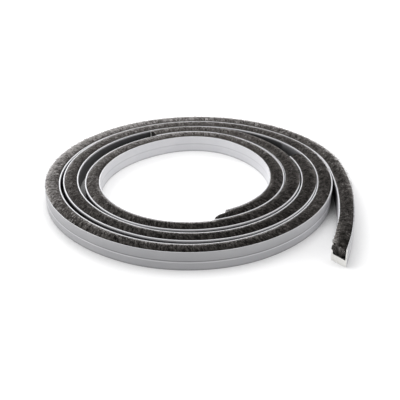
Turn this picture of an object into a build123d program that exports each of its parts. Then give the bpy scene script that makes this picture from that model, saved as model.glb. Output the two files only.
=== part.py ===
# Door brush seal, supplied as a coil: two lengths of strip, one nested inside the other.
# Each length is an extruded U-channel carrier that stands on its back, with a brush
# insert seated in it: a woven backing on the channel floor, and the pile that fans up
# out of it and stands a little proud of the two arms.
# Millimetres, +Z up. The origin is on the surface below the coil, at its middle.

from build123d import *
from math import radians, tan
import os

# Carrier section
carrier_width = 10.3
carrier_height = 12.0
arm_thickness = 0.9
# The channel floor is the top of the solid back that the strip is bonded by.
channel_floor = 4.2
# A parting line runs along both faces of the carrier, as a shallow V.
groove_height = 5.9
groove_depth = 0.3
groove_width = 0.8

# Brush insert
backing_width = 3.0
backing_thickness = 0.7
# The fibres leave the backing as a narrow root and fan out to the arms.
root_width = 2.4
pile_to_arm = 0.15
pile_rise = 1.7
crown_width = 4.6

# Coil
turn_gap = 0.2
turn_pitch = carrier_width + turn_gap
# Each length bends round in arcs of a sixth of a turn, from its end that shows to the
# one that is hidden between turns. Bend radii and start points are counted in turn
# pitches, so that a wider strip lies in a wider coil.
bend_angle = 60
inner_start = (0.638, -4.384)
inner_heading = 16
# The inner end reaches a little past the first of its bends.
inner_lead_angle = 4
inner_bends = [6.2, 7.45, 4.55, 7.75, 6.9, 6.1, 7.25, 8.4, 5.65]
inner_tail_bend = 6.95
inner_tail_angle = 10
outer_start = (7.75, -8.15)
outer_heading = 70
# The free end of the outer length has sprung open to a slacker bend.
free_end_bend = 26
free_end_angle = 24
outer_bends = [9.85, 9.0, 10.2, 9.95, 7.9, 10.3, 8.8, 8.05, 8.85, 8.9, 6.95, 8.9]
outer_tail_bend = 8.45
outer_tail_angle = 16
# The two ends that show are snipped off at a slant, seen from above.
inner_snip_angle = 50
free_end_snip_angle = 32


def coil_route(start, heading, bends):
    """The centre line of one length: arcs that each run on from the one before.

    bends is a list of pairs, a radius in turn pitches and the degrees it turns.
    """
    with BuildLine() as route:
        point = Vector(start[0] * turn_pitch, start[1] * turn_pitch)
        direction = Vector(1, 0).rotate(Axis.Z, heading)
        for radius, angle in bends:
            arc = JernArc(point, direction, radius * turn_pitch, angle)
            point = arc @ 1
            direction = arc % 1
    return route.wire()


inner_route = coil_route(
    inner_start,
    inner_heading,
    [(inner_bends[0], inner_lead_angle)]
    + [(radius, bend_angle) for radius in inner_bends]
    + [(inner_tail_bend, inner_tail_angle)],
)
outer_route = coil_route(
    outer_start,
    outer_heading,
    [(free_end_bend, free_end_angle)]
    + [(radius, bend_angle) for radius in outer_bends]
    + [(outer_tail_bend, outer_tail_angle)],
)

# The coil is moved so that its middle is over the origin. The outer length's outer
# face is its widest line all round.
half_width = carrier_width / 2
outer_face = outer_route.offset_2d(half_width, side=Side.RIGHT, closed=False)
coil_middle = outer_face.bounding_box().center()
inner_route = inner_route.moved(Location(-coil_middle))
outer_route = outer_route.moved(Location(-coil_middle))

os.makedirs("parts", exist_ok=True)

for length, route, snip_angle in (
    ("inner", inner_route, inner_snip_angle),
    ("outer", outer_route, free_end_snip_angle),
):
    # What the slanted snip takes off the end: a wedge that runs out to nothing at the
    # outer arm, drawn with x across the strip towards the inside of the coil.
    end_from_above = Plane(
        origin=route @ 0,
        x_dir=Vector(0, 0, 1).cross(route % 0),
        z_dir=(0, 0, 1),
    )
    with BuildSketch(end_from_above) as snip:
        with BuildLine():
            slant = tan(radians(snip_angle))
            Polyline(
                (-2 * half_width, half_width * slant),
                (2 * half_width, -3 * half_width * slant),
                (2 * half_width, half_width * slant),
                close=True,
            )
        make_face()

    # The strip's section is drawn across the start of its route, with y upwards.
    across = Plane(
        origin=route @ 0,
        x_dir=Vector(0, 0, 1).cross(route % 0),
        z_dir=route % 0,
    )

    # Carrier: the extruded U-channel, open upwards, with a groove on each outer face.
    with BuildPart() as carrier:
        bore_side = half_width - arm_thickness
        right_side = [
            (half_width, 0),
            (half_width, groove_height - groove_width / 2),
            (half_width - groove_depth, groove_height),
            (half_width, groove_height + groove_width / 2),
            (half_width, carrier_height),
            (bore_side, carrier_height),
            (bore_side, channel_floor),
        ]
        left_side = [(-x, y) for x, y in reversed(right_side)]
        with BuildSketch(across):
            with BuildLine():
                Polyline(right_side + left_side, close=True)
            make_face()
        sweep(path=route, clean=False)
        extrude(snip.sketch, amount=carrier_height, mode=Mode.SUBTRACT, clean=False)

    # Backing: a woven strip, flat on the channel floor along its middle.
    with BuildPart() as backing:
        with BuildSketch(across):
            with Locations((0, channel_floor)):
                Rectangle(backing_width, backing_thickness, align=(Align.CENTER, Align.MIN))
        sweep(path=route, clean=False)
        extrude(snip.sketch, amount=carrier_height, mode=Mode.SUBTRACT, clean=False)

    # Pile: the fibres as one body, a fan from the backing to a low crown that stands
    # proud of the arms.
    pile_root = channel_floor + backing_thickness
    pile_side = bore_side - pile_to_arm
    crown_top = carrier_height + pile_rise
    with BuildPart() as pile:
        with BuildSketch(across):
            with BuildLine():
                Polyline(
                    (-root_width / 2, pile_root),
                    (root_width / 2, pile_root),
                    (pile_side, carrier_height),
                    (crown_width / 2, crown_top),
                    (-crown_width / 2, crown_top),
                    (-pile_side, carrier_height),
                    close=True,
                )
            make_face()
        sweep(path=route, clean=False)
        extrude(snip.sketch, amount=crown_top, mode=Mode.SUBTRACT, clean=False)

    carrier.part.label = f"{length}_carrier"
    backing.part.label = f"{length}_backing"
    pile.part.label = f"{length}_pile"
    export_step(carrier.part, f"parts/{length}_carrier.step")
    export_step(backing.part, f"parts/{length}_backing.step")
    export_step(pile.part, f"parts/{length}_pile.step")
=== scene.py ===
# Door brush seal, coiled for storage: its look. Metres, +Z up, in the frame of the solids.

import math

import bpy
import numpy as np
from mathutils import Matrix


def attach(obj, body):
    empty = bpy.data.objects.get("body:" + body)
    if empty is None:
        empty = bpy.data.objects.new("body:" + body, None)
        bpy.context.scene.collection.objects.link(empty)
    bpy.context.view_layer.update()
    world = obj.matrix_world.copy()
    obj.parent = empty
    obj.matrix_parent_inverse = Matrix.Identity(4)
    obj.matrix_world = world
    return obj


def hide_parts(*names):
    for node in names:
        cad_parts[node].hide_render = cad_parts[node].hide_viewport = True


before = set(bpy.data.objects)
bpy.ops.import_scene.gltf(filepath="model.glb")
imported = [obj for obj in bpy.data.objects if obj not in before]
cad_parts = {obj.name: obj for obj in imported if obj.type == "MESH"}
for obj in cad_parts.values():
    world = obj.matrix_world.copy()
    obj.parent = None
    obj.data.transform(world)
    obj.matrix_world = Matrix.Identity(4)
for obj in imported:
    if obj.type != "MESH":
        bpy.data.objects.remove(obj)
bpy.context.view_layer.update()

# Carriers
# A U-shaped channel extruded in pale grey plastic, open upwards, with a solid back that
# the strip is bonded by. The die leaves a parting groove and fine lines along both faces,
# and the arms have small rounded edges. Shade in the slots, groove and channel is painted
# on, and the snipped ends are painted near white, a painted highlight.

# Sizes are in millimetres until a point is placed in the scene.
MM = 0.001
CARRIER_WIDTH = 10.3
CARRIER_HEIGHT = 12.0
CHANNEL_FLOOR = 4.2
ARM = 0.9
HALF = CARRIER_WIDTH / 2

# The strip is wound as two lengths, one nested inside the other, in arcs that run on from
# one another. Each arc is its bend radius in turn pitches and the degrees that it turns.
LENGTHS = ("inner", "outer")
TURN_PITCH = 10.5
BEND_ANGLE = 60
INNER_BENDS = (6.2, 7.45, 4.55, 7.75, 6.9, 6.1, 7.25, 8.4, 5.65)
OUTER_BENDS = (9.85, 9.0, 10.2, 9.95, 7.9, 10.3, 8.8, 8.05, 8.85, 8.9, 6.95, 8.9)
# The first arc of the outer length is its free end, which has sprung open.
ARCS = {
    "inner": [(6.2, 4)] + [(bend, BEND_ANGLE) for bend in INNER_BENDS] + [(6.95, 10)],
    "outer": [(26, 24)] + [(bend, BEND_ANGLE) for bend in OUTER_BENDS] + [(8.45, 16)],
}
# Where each length starts, in turn pitches, and the way it heads from there, in degrees.
STARTS = {"inner": (0.638, -4.384), "outer": (7.75, -8.15)}
HEADINGS = {"inner": 16, "outer": 70}
LINE_STEP = 0.25


class StripLine:
    """The line along the middle of a length of strip, in millimetres.

    Places on the strip are s along this line, x across it towards the inside of the
    coil, and z up.
    """

    def __init__(self, start, heading, arcs):
        point = np.array(start) * TURN_PITCH
        angle = math.radians(heading)
        points, angles = [point], [angle]
        for radius, turn in arcs:
            radius = radius * TURN_PITCH
            turn = math.radians(turn)
            count = int(radius * turn / LINE_STEP)
            inward = np.array([-math.sin(angle), math.cos(angle)])
            centre = point + radius * inward
            for k in range(1, count + 1):
                a = angle + turn * k / count
                points.append(centre - radius * np.array([-math.sin(a), math.cos(a)]))
                angles.append(a)
            point, angle = points[-1], angles[-1]
        self.points = np.array(points)
        self.angles = np.array(angles)
        steps = np.linalg.norm(np.diff(self.points, axis=0), axis=1)
        self.along = np.concatenate([[0], np.cumsum(steps)])
        self.length = self.along[-1]

    def plan(self, s):
        """The place of s seen from above, in millimetres from the middle of the coil."""
        x = np.interp(s, self.along, self.points[:, 0])
        y = np.interp(s, self.along, self.points[:, 1])
        return x, y

    def place(self, s, x, z):
        """Points of the strip as points of the scene, in metres."""
        s, x, z = np.broadcast_arrays(s, x, z)
        angle = np.interp(s, self.along, self.angles)
        middle_x, middle_y = self.plan(s)
        placed = [middle_x - x * np.sin(angle), middle_y + x * np.cos(angle), z]
        return np.stack(placed, axis=-1) * MM


lines = {length: StripLine(STARTS[length], HEADINGS[length], ARCS[length]) for length in LENGTHS}
# The outer length's outer face is the widest line all round, so it gives the middle.
outer_face = lines["outer"].place(lines["outer"].along, -HALF, 0)[:, :2] / MM
coil_middle = (outer_face.min(axis=0) + outer_face.max(axis=0)) / 2
for line in lines.values():
    line.points -= coil_middle

# The ends that show are snipped at a slant, which is taken up over a short stretch.
SNIP_SLOPE = {"inner": math.tan(math.radians(50)), "outer": math.tan(math.radians(32))}
SNIP_STRETCH = 3.4


def cut_back(length, s, x):
    """s along the strip, moved back near its first end so that the end lies on the snip.

    The snip starts at the outer arm and runs back, straight where the strip bends.
    """
    slope = SNIP_SLOPE[length]
    end_bend = ARCS[length][0][0] * TURN_PITCH
    across = np.asarray(x) + HALF
    bent = (across * slope) ** 2 / (2 * end_bend)
    near_end = np.clip(1 - np.asarray(s) / (SNIP_STRETCH * HALF * slope), 0, 1)
    return s + (across + bent) * slope * near_end


ARM_ROUNDING = 0.3


def rounded(corners):
    """A closed outline: each corner is (x, z, radius, steps)."""
    outline = []
    for i, (x, z, radius, steps) in enumerate(corners):
        here = np.array([x, z], float)
        if radius == 0:
            outline.append(here)
            continue
        before = np.array(corners[i - 1][:2], float) - here
        after = np.array(corners[(i + 1) % len(corners)][:2], float) - here
        start = here + before / np.linalg.norm(before) * radius
        end = here + after / np.linalg.norm(after) * radius
        for k in range(steps + 1):
            t = k / steps
            outline.append((1 - t) ** 2 * start + 2 * t * (1 - t) * here + t**2 * end)
    return np.array(outline)


GROOVE_HEIGHT = 5.9
LOWER_LIP = GROOVE_HEIGHT - 0.75
GROOVE_BOTTOM = GROOVE_HEIGHT - 0.05
UPPER_LIP = GROOVE_HEIGHT + 0.4
ABOVE_GROOVE = GROOVE_HEIGHT + 0.75
GROOVE_DEPTH = 0.45
WORN_GROOVE_DEPTH = 0.14


def half_section(groove_depth):
    """One side of the channel from its back up, as corners for an outline."""
    return [
        (HALF, 0, 0.35, 3),
        (HALF, 1.2, 0, 0),
        (HALF, LOWER_LIP - 0.35, 0, 0),
        (HALF, LOWER_LIP, 0.08, 1),
        (HALF - groove_depth, GROOVE_BOTTOM, 0.04, 1),
        (HALF, UPPER_LIP, 0.08, 1),
        (HALF, ABOVE_GROOVE, 0, 0),
        (HALF, CARRIER_HEIGHT - 1.5, 0, 0),
        (HALF, CARRIER_HEIGHT, 0.28, 4),
        (HALF - ARM, CARRIER_HEIGHT, ARM_ROUNDING, 4),
        (HALF - ARM, CHANNEL_FLOOR, 0.5, 4),
    ]


# The groove is worn almost flat on the face towards the inside of the coil.
outer_half = [(-x, z, radius, steps) for x, z, radius, steps in half_section(GROOVE_DEPTH)]
carrier_section = rounded(half_section(WORN_GROOVE_DEPTH) + outer_half[::-1])


def new_object(name, points, faces):
    """A smooth piece with the given points, in metres, and faces, placed in the scene."""
    mesh = bpy.data.meshes.new(name)
    mesh.from_pydata(points.reshape(-1, 3).tolist(), [], faces)
    mesh.validate()
    mesh.shade_smooth()
    piece = bpy.data.objects.new(name, mesh)
    bpy.context.scene.collection.objects.link(piece)
    return piece


def grey_layer(piece, name, values):
    """A grey value for each point of the mesh, as a colour attribute."""
    layer = piece.data.color_attributes.new(name, "FLOAT_COLOR", "POINT")
    values = np.asarray(values, float).reshape(-1)
    rgba = np.stack([values, values, values, np.ones_like(values)], axis=-1)
    layer.data.foreach_set("color", rgba.reshape(-1).astype(np.float32))


END_ROWS = np.array([0.4, 0.8, 1.6, 2.4, 3.2])


def laid_along(name, length, section, spacing, reshaped=None):
    """A section laid along a length of strip, closed with a flat face at each end.

    The points of the two flat faces come last. Rows are spacing apart, and closer at the
    ends. reshaped moves the points of the section by their place on the strip.
    """
    line = lines[length]
    rows = np.linspace(0, line.length, int(line.length / spacing) + 1)
    rows = np.unique(np.concatenate([rows, END_ROWS, line.length - END_ROWS]))
    s = rows[:, None]
    x = section[None, :, 0]
    z = section[None, :, 1]
    if reshaped is not None:
        x, z = reshaped(length, s, x, z)
    points = line.place(cut_back(length, s, x), x, z)
    count = len(section)
    faces = []
    for row in range(len(rows) - 1):
        here = row * count
        ahead = here + count
        for k in range(count):
            beside = (k + 1) % count
            faces.append((here + k, here + beside, ahead + beside, ahead + k))
    first_end = len(rows) * count
    last_end = first_end + count
    faces.append(tuple(range(last_end - 1, first_end - 1, -1)))
    faces.append(tuple(range(last_end, last_end + count)))
    ends = points[[0, -1]]
    points = np.concatenate([points.reshape(-1, 3), ends.reshape(-1, 3)])
    return new_object(name, points, faces), rows


def new_material(name):
    """A material, with its nodes and its links."""
    material = bpy.data.materials.new(name)
    material.use_nodes = True
    return material, material.node_tree.nodes, material.node_tree.links


def node(nodes, kind, **values):
    """A shader node, with its settings and input values given by name."""
    made = nodes.new(kind)
    for key, value in values.items():
        if hasattr(made, key):
            setattr(made, key, value)
        else:
            made.inputs[key.replace("_", " ")].default_value = value
    return made


def tone_ramp(nodes, first, last, *between):
    """A colour ramp: each stop is its position, red, green and blue."""
    ramp = nodes.new("ShaderNodeValToRGB")
    elements = ramp.color_ramp.elements
    for element, stop in ((elements[0], first), (elements[1], last)):
        element.position = stop[0]
        element.color = (*stop[1:], 1)
    for stop in between:
        elements.new(stop[0]).color = (*stop[1:], 1)
    return ramp


# The colour sockets of a Mix node, which share their names with its other sockets.
MIX_FACTOR = 0
MIX_FIRST = 6
MIX_SECOND = 7
MIX_RESULT = 2
# The two tones of the plastic, as stops of a ramp, and the near white painted on its cut faces as
# a painted highlight.
PLASTIC_DULL = (0.3, 0.72, 0.72, 0.75)
PLASTIC_BRIGHT = (0.7, 0.78, 0.777, 0.80)
CUT_FACE_HIGHLIGHT = (1.0, 0.99, 0.96, 1)


def mix_carrier_plastic():
    """Grey plastic, faintly mottled and scored by the die, with painted shade and painted
    highlights, near white on its cut faces.
    """
    material, nodes, links = new_material("carrier_plastic")
    shader = nodes["Principled BSDF"]
    shader.inputs["IOR"].default_value = 1.47
    shader.inputs["Specular IOR Level"].default_value = 0.45
    place = node(nodes, "ShaderNodeTexCoord")
    mottle = node(nodes, "ShaderNodeTexNoise", Scale=38.0, Detail=3.0, Roughness=0.55)
    links.new(place.outputs["Object"], mottle.inputs["Vector"])
    grain = node(nodes, "ShaderNodeTexNoise", Scale=2400.0, Detail=2.0, Roughness=0.6)
    links.new(place.outputs["Object"], grain.inputs["Vector"])
    # Die lines run along the strip, so they change with height only.
    height = node(nodes, "ShaderNodeSeparateXYZ")
    links.new(place.outputs["Object"], height.inputs["Vector"])
    die = node(nodes, "ShaderNodeTexNoise", noise_dimensions="1D", Scale=1900.0, Detail=3.0)
    links.new(height.outputs["Z"], die.inputs["W"])
    tone = tone_ramp(nodes, PLASTIC_DULL, PLASTIC_BRIGHT)
    links.new(mottle.outputs["Fac"], tone.inputs["Fac"])
    cut = node(nodes, "ShaderNodeVertexColor", layer_name="cut")
    # The cut faces are painted near white, a painted highlight.
    cut_highlight = node(nodes, "ShaderNodeMix", data_type="RGBA")
    cut_highlight.inputs[MIX_SECOND].default_value = CUT_FACE_HIGHLIGHT
    links.new(cut.outputs["Color"], cut_highlight.inputs[MIX_FACTOR])
    links.new(tone.outputs["Color"], cut_highlight.inputs[MIX_FIRST])
    # A grey layer of painted shade and painted highlight, multiplied into the plastic.
    painted_light = node(nodes, "ShaderNodeVertexColor", layer_name="painted_light")
    painted_plastic = node(nodes, "ShaderNodeMix", data_type="RGBA", blend_type="MULTIPLY")
    painted_plastic.inputs[MIX_FACTOR].default_value = 1.0
    links.new(cut_highlight.outputs[MIX_RESULT], painted_plastic.inputs[MIX_FIRST])
    links.new(painted_light.outputs["Color"], painted_plastic.inputs[MIX_SECOND])
    links.new(painted_plastic.outputs[MIX_RESULT], shader.inputs["Base Color"])
    gloss = node(nodes, "ShaderNodeMapRange", To_Min=0.34, To_Max=0.52)
    links.new(grain.outputs["Fac"], gloss.inputs["Value"])
    links.new(gloss.outputs["Result"], shader.inputs["Roughness"])
    # The grain counts for about a third of a die line.
    relief = node(nodes, "ShaderNodeMath", operation="MULTIPLY_ADD")
    relief.inputs[1].default_value = 0.35
    links.new(grain.outputs["Fac"], relief.inputs[0])
    links.new(die.outputs["Fac"], relief.inputs[2])
    bump = node(nodes, "ShaderNodeBump", Strength=0.25, Distance=0.00006)
    links.new(relief.outputs["Value"], bump.inputs["Height"])
    links.new(bump.outputs["Normal"], shader.inputs["Normal"])
    return material


def rise(value, start, width):
    """0 up to start, 1 from start + width on, and a straight slope between."""
    return np.clip((value - start) / width, 0, 1)


# The two sides of a strip, as signs of x. Gaps wider than FAR count as FAR.
OUTER_SIDE = -1
INNER_SIDE = 1
SIDES = (OUTER_SIDE, INNER_SIDE)
FAR = 99.0
# The free end stands off in a wedge that is open to the light, so its width counts more.
FREE_END = 110
WEDGE_LIGHT = 4
# Gaps are measured at every so many steps of the line, to every so many of another's.
GAP_ROWS = 12
GAP_NEIGHBOUR_ROWS = 4
# The cosine of the widest angle off straight out at which another face lies beside one.
FACING = 0.6


def gap_beside(length, side):
    """The free width beside a length of strip, all along it, on its outer or inner side."""
    line = lines[length]
    along = line.along[::GAP_ROWS]
    face = line.place(along, side * HALF, 0)[:, :2] / MM
    away = line.place(along, side * (HALF + 1), 0)[:, :2] / MM - face
    width = np.full(len(face), FAR)
    wedge = (along < FREE_END) & (length == "outer")
    for other, beside in lines.items():
        other_along = beside.along[::GAP_NEIGHBOUR_ROWS]
        other_face = beside.place(other_along, -side * HALF, 0)[:, :2] / MM
        offset = other_face[None] - face[:, None]
        apart = np.linalg.norm(offset, axis=2)
        ahead = (offset * away[:, None]).sum(axis=2)
        apart[ahead < FACING * apart] = FAR
        nearest = other_along[apart.argmin(axis=1)]
        closer = apart.min(axis=1) < width
        by_free_end = (nearest < FREE_END) & (other == "outer")
        wedge = np.where(closer & (side == OUTER_SIDE), by_free_end, wedge)
        width = np.minimum(width, apart.min(axis=1))
    return along, np.where(wedge, np.minimum(width * WEDGE_LIGHT, FAR), width)


gaps = {(length, side): gap_beside(length, side) for length in LENGTHS for side in SIDES}

# Painted shade on the walls of a slot: how light they are at their top, how much less beside
# a hidden end, and at their darkest. Gaps wider than a strip are open to the light.
SLOT_LIGHT = 0.42
HIDDEN_END_LOSS = 0.27
DARKEST_WALL = 0.03
NARROWEST_GAP = 0.15
SLOT_SPREAD = 1.1
OPEN_GAP = 13
# From here on the outer length lies inside the coil, where the hidden ends are.
INSIDE_COIL = 800
# The coil's outermost face is darkened with painted shade, by place along the outer length.
OUTERMOST_GAP = 20
OUTERMOST_SHADE_PLACES = (30, 130, 480, 560, 615, 640, 665)
OUTERMOST_SHADE_LIGHT = (0.74, 0.595, 0.595, 0.62, 0.69, 0.69, 0.77)
# Painted shade in the groove, above it, at the foot and in the channel, darkest near its
# floor, and a painted highlight on the groove's lower lip, against the flat of the wall.
GROOVE_SHADE = 0.45
WORN_GROOVE_SHADE = 0.85
LIP_HIGHLIGHT = 1.55
ABOVE_GROOVE_SHADE = 0.88
FOOT_SHADE = 0.8
BORE_SHADE = 0.12
BORE_FADE = 1.2


def carrier_painted_light(length, rows):
    """Painted shade and highlight for each point of a carrier: slots, groove, lip, channel, foot,
    outermost face.
    """
    x = np.tile(carrier_section[:, 0], len(rows))
    z = np.tile(carrier_section[:, 1], len(rows))
    s = np.repeat(rows, len(carrier_section))
    depth = np.clip(CARRIER_HEIGHT - 0.5 - z, 0, None)
    below_rim = z < CARRIER_HEIGHT - ARM_ROUNDING
    light = np.ones(len(s))
    for side in SIDES:
        gap = np.maximum(np.interp(s, *gaps[length, side]), NARROWEST_GAP)
        # The walls of each slot are painted darker deeper down and where the gap is narrower, as
        # painted shade.
        open_sky = 1 - depth / np.sqrt(depth**2 + (SLOT_SPREAD * gap) ** 2)
        # Beside the two hidden ends the gap is closed off, so less light is painted there.
        closed = rise(gap, 1, 1) * ((s > INSIDE_COIL) | (length == "inner"))
        wall_light = (SLOT_LIGHT - HIDDEN_END_LOSS * closed) * open_sky**3
        wall_light = np.clip(wall_light, DARKEST_WALL, 1)
        wall_light = wall_light + (1 - wall_light) * rise(gap, OPEN_GAP, 10)
        wall = (x * side > HALF - 0.5) & below_rim
        light = np.where(wall, wall_light, light)
    # Painted shade on the coil's outermost face, set by place along it.
    outermost = np.interp(s, *gaps[length, OUTER_SIDE]) > OUTERMOST_GAP
    shaded_outermost = outermost & (x < 0.5 - HALF)
    light *= np.where(shaded_outermost, np.interp(s, OUTERMOST_SHADE_PLACES, OUTERMOST_SHADE_LIGHT), 1)
    side_face = np.abs(x) > HALF - ARM + 0.1
    facing_out = side_face & (x < 0)
    in_groove = side_face & (z > GROOVE_BOTTOM - 0.1) & (z < UPPER_LIP + 0.05)
    # Painted shade in the groove and above it, and a painted highlight on its lower lip.
    light *= np.where(in_groove, np.where(x < 0, GROOVE_SHADE, WORN_GROOVE_SHADE), 1)
    light *= np.where(facing_out & (np.abs(z - LOWER_LIP) < 0.15), LIP_HIGHLIGHT, 1)
    light *= np.where(facing_out & (np.abs(z - ABOVE_GROOVE) < 0.15), ABOVE_GROOVE_SHADE, 1)
    # Painted shade along the foot of the walls.
    light *= np.where(side_face & (z < 0.5), FOOT_SHADE, 1)
    # Painted shade inside the channel, darker towards its floor.
    bore = (np.abs(x) < HALF - ARM + 0.1) & below_rim & (z > 0.5)
    bore_shade = BORE_SHADE + (1 - BORE_SHADE) * np.exp((z - CARRIER_HEIGHT) / BORE_FADE)
    light = np.where(bore, bore_shade, light)
    return np.concatenate([light, np.ones(2 * len(carrier_section))])


CARRIER_ROWS = 2.5
carrier_plastic = mix_carrier_plastic()
for length in LENGTHS:
    name = f"{length}_carrier_look"
    carrier, rows = laid_along(name, length, carrier_section, CARRIER_ROWS)
    cut_faces = np.zeros(len(carrier.data.vertices))
    cut_faces[-2 * len(carrier_section) :] = 1
    grey_layer(carrier, "cut", cut_faces)
    # Painted shade and highlight, as a grey layer.
    grey_layer(carrier, "painted_light", carrier_painted_light(length, rows))
    carrier.data.materials.append(carrier_plastic)
    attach(carrier, "root")
    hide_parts(f"{length}_carrier")

# Backings
# A thin strip of dark cloth that the pile is woven into. It is slid in along the channel
# floor and shows only at the cut ends, under the root of the fibres.

CLOTH_DARK = (0.0, 0.035, 0.034, 0.033)
CLOTH_LIGHT = (1.0, 0.12, 0.117, 0.113)


def mix_backing_cloth():
    """Dark cloth with a fine woven relief."""
    material, nodes, links = new_material("backing_cloth")
    shader = nodes["Principled BSDF"]
    shader.inputs["Roughness"].default_value = 0.9
    place = node(nodes, "ShaderNodeTexCoord")
    weave = node(nodes, "ShaderNodeTexVoronoi", Scale=1500.0)
    links.new(place.outputs["Object"], weave.inputs["Vector"])
    tone = tone_ramp(nodes, CLOTH_DARK, CLOTH_LIGHT)
    links.new(weave.outputs["Distance"], tone.inputs["Fac"])
    links.new(tone.outputs["Color"], shader.inputs["Base Color"])
    bump = node(nodes, "ShaderNodeBump", Strength=0.6, Distance=0.0002)
    links.new(weave.outputs["Distance"], bump.inputs["Height"])
    links.new(bump.outputs["Normal"], shader.inputs["Normal"])
    return material


backing_cloth = mix_backing_cloth()
for length in LENGTHS:
    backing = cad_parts[f"{length}_backing"]
    backing.data.materials.clear()
    backing.data.materials.append(backing_cloth)

# Pile
# Thousands of fine charcoal fibres, woven in tufts into the backing. They leave it as a
# narrow root, fan out to the two arms and stand a little proud of them. Each piece is a
# dense dark core with the free tips of the fibres standing on it, tuft by tuft.

PILE_SIDE = HALF - ARM
PILE_RISE = 1.7
PILE_ROOT = CHANNEL_FLOOR + 0.7
ROOT_HALF = 1.2
# At the snip the pile is lower. The inner end is worn, over more than a centimetre, and
# the free end freshly cut.
END_WEAR = 1.8
END_WEAR_STRETCH = {"inner": 14, "outer": 0.014}
END_LEAN_STRETCH = {"inner": 12, "outer": 0.012}
CROWN_CURVE = 2.2


def crown_height(length, x, s):
    """The height of the fibre tips: a low crown between the arms, worn down at the end."""
    crown = PILE_RISE * (1 - np.clip(np.abs(x) / PILE_SIDE, 0, 1) ** CROWN_CURVE)
    wear = END_WEAR * np.exp(-np.clip(s, 0, None) / END_WEAR_STRETCH[length])
    return CARRIER_HEIGHT + crown - wear


# The noise covers more than the pile's width, and runs on past both of its ends.
NOISE_WIDTH = 14
NOISE_START = 3
NOISE_OVERRUN = 8


def smooth_noise(random, s, x, s_cell, x_cell, span):
    """A smooth random value from 0 to 1 over the pile, with cells of the given size."""
    rows = int(span / s_cell) + 3
    columns = int(NOISE_WIDTH / x_cell) + 3
    grid = random.random((rows, columns))
    u = np.clip(s / s_cell, 0, rows - 1.001)
    v = np.clip((x + NOISE_WIDTH / 2) / x_cell, 0, columns - 1.001)
    i = u.astype(int)
    j = v.astype(int)
    along = (u - i) * (u - i) * (3 - 2 * (u - i))
    across = (v - j) * (v - j) * (3 - 2 * (v - j))
    near = grid[i, j] * (1 - across) + grid[i, j + 1] * across
    beyond = grid[i + 1, j] * (1 - across) + grid[i + 1, j + 1] * across
    return near * (1 - along) + beyond * along


# The tufts are streaks of three sizes: their cell along and across, and their weight.
TUFT_SEED = {"inner": 7, "outer": 8}
TUFT_CELLS = ((0.42, 1.1, 0.55), (0.75, 1.8, 0.32), (2.5, 3.5, 0.13))
TUFT_SKEW = 0.3


def tufts(length, s, x):
    """The tufts, from 0 between them to 1 on them: streaks that run across the strip."""
    random = np.random.default_rng(TUFT_SEED[length])
    skewed = s + TUFT_SKEW * x + NOISE_START
    span = lines[length].length + NOISE_OVERRUN
    height = 0
    for s_cell, x_cell, weight in TUFT_CELLS:
        streaks = smooth_noise(random, skewed, x, s_cell, x_cell, span)
        height = height + weight * streaks
    return height


FIBRE_ROOT = (0.0, 0.009, 0.0076, 0.0066)
FIBRE_MIDDLE = (0.5, 0.15, 0.138, 0.13)
PALEST_FIBRE = (1.0, 0.74, 0.715, 0.71)


def mix_pile_fibre():
    """Dull charcoal fibre with a faint sheen. Its tone comes with the piece, as shade: tufts with
    painted sheen, painted highlight and painted shade.
    """
    material, nodes, links = new_material("pile_fibre")
    shader = nodes["Principled BSDF"]
    shader.inputs["Roughness"].default_value = 0.75
    shader.inputs["Specular IOR Level"].default_value = 0.1
    shader.inputs["Sheen Weight"].default_value = 0.1
    shader.inputs["Sheen Roughness"].default_value = 0.3
    shader.inputs["Sheen Tint"].default_value = (0.8, 0.78, 0.77, 1)
    shade = node(nodes, "ShaderNodeVertexColor", layer_name="shade")
    tone = tone_ramp(nodes, FIBRE_ROOT, PALEST_FIBRE, FIBRE_MIDDLE)
    links.new(shade.outputs["Color"], tone.inputs["Fac"])
    place = node(nodes, "ShaderNodeTexCoord")
    speck = node(nodes, "ShaderNodeTexNoise", Scale=1600.0, Detail=2.0)
    links.new(place.outputs["Object"], speck.inputs["Vector"])
    strength = node(nodes, "ShaderNodeMapRange", To_Min=0.75, To_Max=1.25)
    links.new(speck.outputs["Fac"], strength.inputs["Value"])
    flecked = node(nodes, "ShaderNodeMix", data_type="RGBA", blend_type="MULTIPLY")
    flecked.inputs[MIX_FACTOR].default_value = 1.0
    links.new(tone.outputs["Color"], flecked.inputs[MIX_FIRST])
    links.new(strength.outputs["Result"], flecked.inputs[MIX_SECOND])
    links.new(flecked.outputs[MIX_RESULT], shader.inputs["Base Color"])
    return material


def bearing(length, s):
    """Which way a place on the strip lies from the middle of the coil, in degrees."""
    x, y = lines[length].plan(s)
    return np.degrees(np.arctan2(y, x))


# Bearings are in degrees, from 0 at the right to 90 at the back.
# The pile is stroked over most, and painted with the most sheen, towards this bearing.
STROKE_AND_SHEEN_TOWARDS = 125
NAP_SWING = 1.7
NAP_OUTWARDS = 0.9
MOST_INWARDS = -0.8
# Stretches are given in the order of window: first, its slope up, last, its slope down.
BACK_AND_RIGHT = (-26, 16, 150, 20)


def nap(length, s):
    """How far the pile has been stroked over, 0 to 1, which also sets its painted sheen, and which
    way it lies, -1 to 1.

    It was stroked towards the left and the back, so it lies outwards there and on the
    right, and a little inwards along the front.
    """
    around = bearing(length, s)
    stroke_and_sheen = 0.5 + 0.5 * np.cos(np.radians(around - STROKE_AND_SHEEN_TOWARDS))
    outwards = NAP_SWING * np.sin(np.radians(around)) + NAP_OUTWARDS
    outwards = np.clip(outwards, MOST_INWARDS, 1)
    return stroke_and_sheen, outwards


def window(value, first, rise_width, last, fall_width):
    """1 between first and last, sloping up and down inside them, and 0 outside."""
    return rise(value, first, rise_width) * rise(-value, -last, fall_width)


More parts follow.
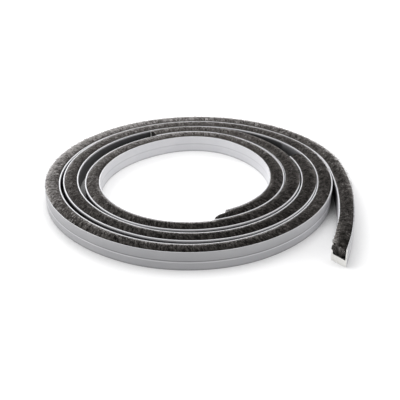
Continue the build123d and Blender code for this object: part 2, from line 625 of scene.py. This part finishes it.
def at_the_back(length, s):
    """1 along the back and the right of the coil, 0 along the front and the left."""
    return window(bearing(length, s), *BACK_AND_RIGHT)


def stands_free(length, side, s):
    """1 where no turn lies alongside on that side of the strip, 0 where one does."""
    along, width = gaps[length, side]
    return np.interp(s, along, rise(width, OPEN_GAP, 6))


# Places along the strip. One turn of each length is stroked off its outer arm, and the
# pile leans in beside the inner end, at the free end and, by a share, along the back.
ARM_CLEAR = {"inner": (-100, 60, 270, 30), "outer": (560, 60, 790, 30)}
BESIDE_INNER_END = (425, 8, 640, 20)
FREE_END_LEANS = 44
FREE_END_SLOPE = 16
BACK_LEAN = 0.45


def over_outer_arm(length, s):
    """How far the pile covers the outer arm, from 0 to 1.

    It does along the back and the right, and wherever the outermost turn isn't held by a
    next one.
    """
    unheld = stands_free(length, OUTER_SIDE, s) * np.clip(nap(length, s)[1], 0, 1)
    clear = window(s, *ARM_CLEAR[length])
    return np.maximum(at_the_back(length, s), unheld) * (1 - clear)


def over_inner_arm(length, s):
    """How far the pile leans in over the inner arm, from 0 to 1.

    It does in the turn beside the inner end and at the free end, and less along the back.
    """
    if length == "inner":
        leaning = window(s, *BESIDE_INNER_END)
    else:
        leaning = rise(-s, -FREE_END_LEANS, FREE_END_SLOPE)
    return np.maximum(leaning, BACK_LEAN * at_the_back(length, s))


# The tone of the pile, from 0 to 1 on the ramp of its material, and what changes it.
BASE_TONE = 0.12
SHEEN_TONE = 0.54
SLOPE_TONE = 0.08
TUFT_CONTRAST = 1.25
CLEAN_CONTRAST = 0.76
UNFLANKED_CONTRAST = 0.2
UNFLANKED_TONE = 0.07
INNER_UNFLANKED = 0.25
LIT_TONE = 0.52
LIT_TONE_LOSS = 0.3
LIT_FROM = 0.03
LIT_FROM_SHIFT = 0.4
LIT_WIDTH = 0.5
LIT_IF_HELD = 0.2
FRINGE_TONE = 0.36
FRINGE_FROM = 0.8
FRINGE_WIDTH = 2.2
SHADE_DEPTH = 0.85


def fibre_tone(length, s, x, tuft):
    """How light the pile is painted: painted sheen where it lies over, a painted highlight on its
    lit side and painted shade on the other.
    """
    stroke_and_sheen, outwards = nap(length, s)
    lying_out = np.clip(outwards, 0, 1)
    outer_free = stands_free(length, OUTER_SIDE, s)
    inner_free = stands_free(length, INNER_SIDE, s)
    unflanked = np.maximum(outer_free, INNER_UNFLANKED * inner_free)
    # The side that the pile lies to gets a painted highlight, less where a turn stands beside it.
    slope = -x / PILE_SIDE * outwards
    lit = rise(slope, LIT_FROM + LIT_FROM_SHIFT * lying_out, LIT_WIDTH) ** 1.5
    held = LIT_IF_HELD + (1 - LIT_IF_HELD) * outer_free
    lit = lit * np.where(outwards > 0, held, 1)
    if length == "inner":
        lit = lit * (1 - over_inner_arm(length, s))
    # A painted sheen where the pile is stroked over, and lighter on the side the light falls on.
    light = BASE_TONE + SHEEN_TONE * stroke_and_sheen + SLOPE_TONE * slope
    light = light + (TUFT_CONTRAST + lit) * (tuft - 0.5)
    # Lighter where no turn lies alongside.
    light = light * (CLEAN_CONTRAST + UNFLANKED_CONTRAST * unflanked) + UNFLANKED_TONE * unflanked
    light = light + (LIT_TONE - LIT_TONE_LOSS * lying_out) * lit
    if length == "inner":
        # Along the eye the fringe of the fibres is painted lighter, as light coming through it.
        fringe = inner_free * rise(x, FRINGE_FROM, FRINGE_WIDTH) ** 2
        light = light + FRINGE_TONE * fringe * np.clip(1 - outwards, 0, 1)
    # Painted shade on the side turned away from the light.
    shaded = np.clip(-slope, 0, 1) ** (1.5 + 3 * lying_out)
    return np.clip(light * (1 - SHADE_DEPTH * shaded), 0.0, 1)


# The core is the packed fibres: a fan up from the root, with the tufts as low ridges
# across its top. The height of its top is worked out as it is laid along the strip.
TOP_POINTS = 15
FAN_FLARE = [(2.0, 7.0), (3.2, 9.6)]
core_outline = [(-ROOT_HALF, PILE_ROOT), (ROOT_HALF, PILE_ROOT)] + FAN_FLARE
core_outline += [(x, 0.0) for x in np.linspace(PILE_SIDE - 0.1, 0.1 - PILE_SIDE, TOP_POINTS)]
core_outline += [(-x, z) for x, z in FAN_FLARE[::-1]]
core_section = np.array(core_outline)
on_top = core_section[:, 1] == 0
CORE_BELOW_CROWN = 0.75
CORE_RIDGES = 0.9
CORE_ABOVE_ARM = 0.15
ARM_COVER = 0.8
# Where across the pile it starts to lie over the arm, and the width that this takes.
CORE_EDGE = (2.6, 1.5)
# From this share on it is held up by the arm.
HELD_UP = 0.15
CORE_ROWS = 0.45
# The core's sides and cut ends are painted near black: charcoal fibre with painted shade in its
# depths.
CORE_SIDE_TONE = 0.04
CORE_END_TONE = 0.03


def tufted_core(length, s, x, z):
    """The core's points, with tufts on its top that lie over the arms where the pile does."""
    s, x, z = np.broadcast_arrays(s, x, z)
    tuft = tufts(length, s, x)
    height = crown_height(length, x, s) - CORE_BELOW_CROWN + CORE_RIDGES * (tuft - 0.5)
    reach_out = over_outer_arm(length, s) * rise(-x, *CORE_EDGE) * on_top
    reach_in = over_inner_arm(length, s) * rise(x, *CORE_EDGE) * on_top
    held_up = (reach_out > HELD_UP) | (reach_in > HELD_UP)
    height = np.maximum(height, (CARRIER_HEIGHT + CORE_ABOVE_ARM) * held_up)
    return x - ARM_COVER * reach_out + ARM_COVER * reach_in, np.where(on_top, height, z)


def pile_points(length, s, x, z, aside=0):
    """Points of the pile in the scene, moved back with the snip and then aside."""
    return lines[length].place(cut_back(length, s, x), x + aside, z)


# The free tips: how many there are, how far across the pile they reach, how far below
# its crown they end, and how much their tufts and their own lengths change that.
TIPS_PER_MM = 130
TIP_SPREAD = 1.02
TIPS_BELOW_CROWN = 0.55
TIP_RIDGES = 0.7
TIP_SCATTER = 0.22
LONGEST_TIP = 0.45
TIPS_ABOVE_ARM = 0.05
# Where across the pile the tips start to lie over an arm, and the width that this takes.
TIP_EDGE = (2.4, 1.6)
# How far they lie over it, at least and by chance, and droop where nothing holds them. A
# few stray further out and up.
OVER_ARM = 0.7
OVER_ARM_CHANCE = 0.2
DROOP = 0.7
DROOP_LIFT = 0.35
DROOP_LENGTH = 0.9
STRAY_EDGE = 3
STRAY_OUT = 0.7
STRAY_UP = 0.6
# The least length of a fibre, what chance adds to it, and its least half width, which
# chance can double.
FIBRE_LENGTH = 1.1
FIBRE_LENGTH_CHANCE = 0.7
FIBRE_HALF_WIDTH = 0.05
# How many degrees a fibre leans in the middle of the fan, and how many more at its edge.
# The chance in it is in radians.
LEAN_IN_MIDDLE = 10
MORE_AT_EDGE = 38
LEAN_CHANCE = 0.15
# How much lighter the tips are than the core, and how much paler a few of them are.
TIP_TONE = 0.06
TONE_CHANCE = 0.12
PALE_SHARE = 0.03
PALE_TONE = 0.12
DARKEST_FIBRE = 0.03
# Each tip is painted darker towards its base, as painted shade among the fibres.
FIBRE_BASE_SHADE = 0.5


def free_tips(length, random):
    """The free fibre tips, one thin triangle each: corners, tones and places along the strip.

    They gather in tufts and keep off the arms where the next turn lies close alongside.
    """
    total = lines[length].length
    count = int(total * TIPS_PER_MM)
    tip_s = random.uniform(-0.2, total + 0.2, count)
    tip_x = random.uniform(-TIP_SPREAD, TIP_SPREAD, count) * PILE_SIDE
    edge = np.clip(np.abs(tip_x) / PILE_SIDE, 0, 1)
    stroke_and_sheen, outwards = nap(length, tip_s)
    # Where no turn lies alongside, the outermost fibres droop well over the arm.
    outer_free = stands_free(length, OUTER_SIDE, tip_s)
    cover = over_outer_arm(length, tip_s) * rise(-tip_x, *TIP_EDGE)
    droop = cover * outer_free
    tip_x = tip_x - cover * (OVER_ARM + OVER_ARM_CHANCE * random.random(count))
    end_lean = np.exp(-np.clip(tip_s, 0.1, None) / END_LEAN_STRETCH[length])
    lean_in = np.maximum(over_inner_arm(length, tip_s), end_lean) * rise(tip_x, *TIP_EDGE)
    tip_x = tip_x + lean_in * (OVER_ARM + OVER_ARM_CHANCE * random.random(count))
    tip_x = tip_x - droop * np.abs(random.normal(DROOP, DROOP, count))
    tuft = tufts(length, tip_s, tip_x)
    tip_z = crown_height(length, tip_x, tip_s) - TIPS_BELOW_CROWN + TIP_RIDGES * (tuft - 0.5)
    tip_z = tip_z + np.abs(random.normal(0, TIP_SCATTER, count))
    over_arm = np.abs(tip_x) > PILE_SIDE
    tip_z = np.maximum(tip_z, np.where(over_arm, CARRIER_HEIGHT + TIPS_ABOVE_ARM, 0))
    # Along the edges that stand free a few fibres stray well beyond the others.
    fringe = outer_free * np.clip(-tip_x / STRAY_EDGE, 0, 1)
    inner_free = stands_free(length, INNER_SIDE, tip_s)
    fringe = fringe + inner_free * np.clip(tip_x / STRAY_EDGE, 0, 1)
    stray = random.random(count) ** 7 * fringe
    tip_x = tip_x + STRAY_OUT * stray * np.sign(tip_x)
    long_tip = LONGEST_TIP * random.random(count) ** 10
    tip_z = tip_z + long_tip + DROOP_LIFT * droop + STRAY_UP * stray

    # The fibres lean with the fan, and further with the nap.
    lean = np.radians(LEAN_IN_MIDDLE + MORE_AT_EDGE * edge**1.5) * np.sign(tip_x)
    lean = lean - 0.5 * stroke_and_sheen * outwards - 0.5 * droop
    lean = lean + random.normal(0, LEAN_CHANCE, count)
    reach = FIBRE_LENGTH + FIBRE_LENGTH_CHANCE * random.random(count) + DROOP_LENGTH * droop
    base_x = tip_x - reach * np.sin(lean)
    base_s = tip_s + random.normal(0, TIP_SCATTER, count)
    base_z = tip_z - reach * np.cos(lean)
    tip_s = np.clip(tip_s, -0.4, total + 0.4)
    base_s = np.clip(base_s, 0.1, total - 0.1)
    spin = random.random(count) * math.pi
    half_width = FIBRE_HALF_WIDTH * (1 + random.random(count))
    wide_s = np.cos(spin) * half_width
    wide_x = np.sin(spin) * half_width
    corners = [
        pile_points(length, tip_s - wide_s, tip_x, tip_z, -wide_x),
        pile_points(length, tip_s + wide_s, tip_x, tip_z, wide_x),
        pile_points(length, base_s, base_x, base_z),
    ]

    tone = fibre_tone(length, tip_s, tip_x, tuft) + TIP_TONE
    tone = tone + random.normal(0, TONE_CHANCE, count)
    tone = np.where(random.random(count) < PALE_SHARE, tone + PALE_TONE, tone)
    tone = np.clip(tone, DARKEST_FIBRE, 1)
    tones = [tone, tone, tone * FIBRE_BASE_SHADE]
    return np.stack(corners, axis=1), np.stack(tones, axis=1), base_s


# The strands of the fan: how many there are, how many more hang over the inner arm, how
# widely both spread, how far they reach past the snip, and how their tone is spread.
FAN_STRANDS = 500
HANGING_STRANDS = 450
FAN_SPREAD = 0.42
HANGING_SPREAD = (0.35, 1.0)
FAN_WIDTH = 4.4
FAN_SCATTER = 0.3
FAN_HALF = 4.1
STRAND_REACH = {"inner": 2.4, "outer": 0.7}
HANGING_REACH = 3.2
HANGING_BACK = 0.6
HANGING_OVER_ARM = 0.9
SUNK_STRANDS = 0.9
STRAND_TONE = 0.42
STRAND_TONE_CHANCE = 0.26
# Strands are painted darker towards the root, as painted shade.
STRAND_ROOT_SHADE = 0.15


def end_strands(length, random):
    """The cut fibres that show from their root at the snip, as loose strands of a fan."""
    spread = random.normal(0, FAN_SPREAD, FAN_STRANDS)
    if length == "outer":
        hanging = random.uniform(*HANGING_SPREAD, HANGING_STRANDS)
        spread = np.concatenate([spread, hanging])
    count = len(spread)
    root_x = np.clip(spread, -1, 1) * (ROOT_HALF - 0.1)
    end_x = spread * FAN_WIDTH + random.normal(0, FAN_SCATTER, count)
    end_x = np.clip(end_x, -FAN_HALF, FAN_HALF)
    sunk = np.abs(random.normal(0, SUNK_STRANDS, count))
    end_s = random.uniform(-STRAND_REACH[length], 0.05, count)
    # At the free end the fibres by the inner arm hang out over it and past the cut.
    by_arm = np.clip(end_x / 3, 0, 1) * (length == "outer")
    end_z = crown_height(length, end_x, 0) - sunk * (1 - 0.8 * by_arm)
    end_x = end_x + HANGING_OVER_ARM * by_arm
    hang = by_arm * random.random(count)
    end_s = end_s + HANGING_BACK * (hang > 0) - HANGING_REACH * hang
    end_z = end_z - hang
    half_width = FIBRE_HALF_WIDTH * (1 + random.random(count))
    corners = [
        pile_points(length, end_s, end_x - half_width, end_z),
        pile_points(length, end_s, end_x + half_width, end_z),
        pile_points(length, 0.3 * end_s + 0.05, root_x, np.full(count, PILE_ROOT + 0.1)),
    ]
    tone = random.normal(STRAND_TONE, STRAND_TONE_CHANCE, count)
    tone = np.clip(tone, DARKEST_FIBRE, 1)
    tones = [tone, tone, tone * STRAND_ROOT_SHADE]
    return np.stack(corners, axis=1), np.stack(tones, axis=1)


pile_fibre = mix_pile_fibre()
FIBRE_SEED = {"inner": 41, "outer": 42}
# The tips of the outer length are halved, so that no piece grows too large.
TIP_PIECES = {"inner": 1, "outer": 2}
for length in LENGTHS:
    name = f"{length}_pile_core"
    core, rows = laid_along(name, length, core_section, CORE_ROWS, tufted_core)
    s, x = np.broadcast_arrays(rows[:, None], core_section[None, :, 0])
    top_tone = fibre_tone(length, s, x, tufts(length, s, x))
    tone = np.where(on_top, top_tone, CORE_SIDE_TONE)
    end_tone = np.full(2 * len(core_section), CORE_END_TONE)
    grey_layer(core, "shade", np.concatenate([tone.ravel(), end_tone]))
    core.data.materials.append(pile_fibre)
    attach(core, "root")
    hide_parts(f"{length}_pile")

    random = np.random.default_rng(FIBRE_SEED[length])
    corners, tones, places = free_tips(length, random)
    strand_corners, strand_tones = end_strands(length, random)
    corners = np.concatenate([corners, strand_corners])
    tones = np.concatenate([tones, strand_tones])
    order = np.argsort(np.concatenate([places, np.zeros(len(strand_tones))]))
    for number, chosen in enumerate(np.array_split(order, TIP_PIECES[length]), start=1):
        triangles = np.arange(len(chosen) * 3).reshape(-1, 3).tolist()
        tips = new_object(f"{length}_pile_tips_{number}", corners[chosen], triangles)
        grey_layer(tips, "shade", tones[chosen])
        tips.data.materials.append(pile_fibre)
        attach(tips, "root")

# Floor
# A plain white surface. The camera, and reflections, see it as white, and it keeps the
# soft shadow that the coil throws, with a painted shadow added round and between the turns.

FLOOR_REACH = 3.0
FLOOR_DROP = 0.00005
SHADOW_REACH = 0.045
# How bright the floor looks, as a painted shadow, by how open it is to its surroundings: both ends
# first.
SHADOW_STOPS = ((0.25, 0), (1.0, 1), (0.5, 0.3), (0.71, 0.385), (0.84, 0.54), (0.93, 0.7))
SHADOW_BLUE = 1.01
FLOOR_GLOW = 0.65


def seen_directly(nodes, links):
    """1 for rays from the camera, off a glossy face or through a clear one, 0 for others."""
    rays = node(nodes, "ShaderNodeLightPath")
    seen = rays.outputs["Is Camera Ray"]
    for kind in ("Is Glossy Ray", "Is Transmission Ray"):
        either = node(nodes, "ShaderNodeMath", operation="MAXIMUM")
        links.new(seen, either.inputs[0])
        links.new(rays.outputs[kind], either.inputs[1])
        seen = either.outputs["Value"]
    return seen


def mix_floor_white():
    """White for the eye, with a painted contact shadow, and painted dark between the turns of the
    coil.
    """
    material, nodes, links = new_material("floor_white")
    shader = nodes["Principled BSDF"]
    shader.inputs["Roughness"].default_value = 0.9
    shader.inputs["Specular IOR Level"].default_value = 0.0
    openness = node(nodes, "ShaderNodeAmbientOcclusion", Distance=SHADOW_REACH)
    stops = [(place, level, level, min(level * SHADOW_BLUE, 1)) for place, level in SHADOW_STOPS]
    shadow = tone_ramp(nodes, *stops)
    links.new(openness.outputs["AO"], shadow.inputs["Fac"])
    # Between the turns its colour is painted dark, as painted shade where hardly any light
    # reaches.
    slot = node(nodes, "ShaderNodeMapRange", From_Min=0.15, From_Max=0.36, To_Min=0.08, To_Max=0.8)
    links.new(openness.outputs["AO"], slot.inputs["Value"])
    links.new(slot.outputs["Result"], shader.inputs["Base Color"])
    glow = node(nodes, "ShaderNodeEmission", Strength=FLOOR_GLOW)
    links.new(shadow.outputs["Color"], glow.inputs["Color"])
    nothing = node(nodes, "ShaderNodeEmission", Strength=0.0)
    lift = node(nodes, "ShaderNodeMixShader")
    links.new(seen_directly(nodes, links), lift.inputs["Fac"])
    links.new(nothing.outputs["Emission"], lift.inputs[1])
    links.new(glow.outputs["Emission"], lift.inputs[2])
    both = node(nodes, "ShaderNodeAddShader")
    links.new(shader.outputs["BSDF"], both.inputs[0])
    links.new(lift.outputs["Shader"], both.inputs[1])
    links.new(both.outputs["Shader"], nodes["Material Output"].inputs["Surface"])
    return material


floor_mesh = bpy.data.meshes.new("floor")
floor_corners = [
    (x * FLOOR_REACH, y * FLOOR_REACH, 0) for x, y in ((-1, -1), (1, -1), (1, 1), (-1, 1))
]
floor_mesh.from_pydata(floor_corners, [], [(0, 1, 2, 3)])
floor_mesh.materials.append(mix_floor_white())
floor = bpy.data.objects.new("floor", floor_mesh)
bpy.context.scene.collection.objects.link(floor)
floor.location.z = -FLOOR_DROP

# Light and camera
# A soft box hangs over the coil, and three more stand round it, one behind it and one at
# each side. The world is white, and lights the shadows evenly.


def hang_lamp(name, size, energy, place, turn):
    """A square soft box, which shines straight down until it is turned."""
    box = bpy.data.lights.new(name, "AREA")
    box.size = size
    box.energy = energy
    lamp = bpy.data.objects.new(name, box)
    lamp.location = place
    lamp.rotation_euler = turn
    bpy.context.scene.collection.objects.link(lamp)


# Each standing lamp is tilted up from straight down and swung round to face the coil.
rim_turn = (-math.atan2(0.67, 0.35), 0, math.atan2(0.3, 0.6))
side_turn = (0, -math.atan2(0.7, 0.14), math.atan2(0.15, 0.7))
fill_turn = (0, math.atan2(0.72, 0.2), -math.atan2(0.12, 0.71))
hang_lamp("soft_box", 0.3, 0.55, (-0.02, 0.03, 0.4), (0, 0, 0))
hang_lamp("rim_box", 0.35, 3.0, (-0.3, 0.6, 0.35), rim_turn)
hang_lamp("side_box", 0.4, 1.6, (-0.7, -0.15, 0.14), side_turn)
hang_lamp("fill_box", 0.4, 0.9, (0.71, -0.12, 0.2), fill_turn)

world = bpy.data.worlds.new("studio")
world.use_nodes = True
nodes = world.node_tree.nodes
links = world.node_tree.links
around = nodes["Background"]
around.inputs["Color"].default_value = (1, 1, 1, 1)
around.inputs["Strength"].default_value = 0.5
white = node(nodes, "ShaderNodeBackground", Strength=1.0)
pick = node(nodes, "ShaderNodeMixShader")
links.new(seen_directly(nodes, links), pick.inputs["Fac"])
links.new(around.outputs["Background"], pick.inputs[1])
links.new(white.outputs["Background"], pick.inputs[2])
links.new(pick.outputs["Shader"], nodes["World Output"].inputs["Surface"])
bpy.context.scene.world = world
bpy.context.scene.view_settings.view_transform = "Standard"

# The camera looks at the point that the starts of the two lengths are measured from.
CAMERA_ELEVATION = 27.2
CAMERA_DISTANCE = 0.5382
SENSOR_WIDTH = 36
LENS = 70.2
camera_data = bpy.data.cameras.new("camera")
camera_data.sensor_width = SENSOR_WIDTH
camera_data.lens = LENS
camera = bpy.data.objects.new("camera", camera_data)
elevation = math.radians(CAMERA_ELEVATION)
camera.location = (
    -coil_middle[0] * MM,
    -coil_middle[1] * MM - CAMERA_DISTANCE * math.cos(elevation),
    CAMERA_DISTANCE * math.sin(elevation),
)
camera.rotation_euler = (math.pi / 2 - elevation, 0, 0)
bpy.context.scene.collection.objects.link(camera)
bpy.context.scene.camera = camera

bpy.context.view_layer.update()
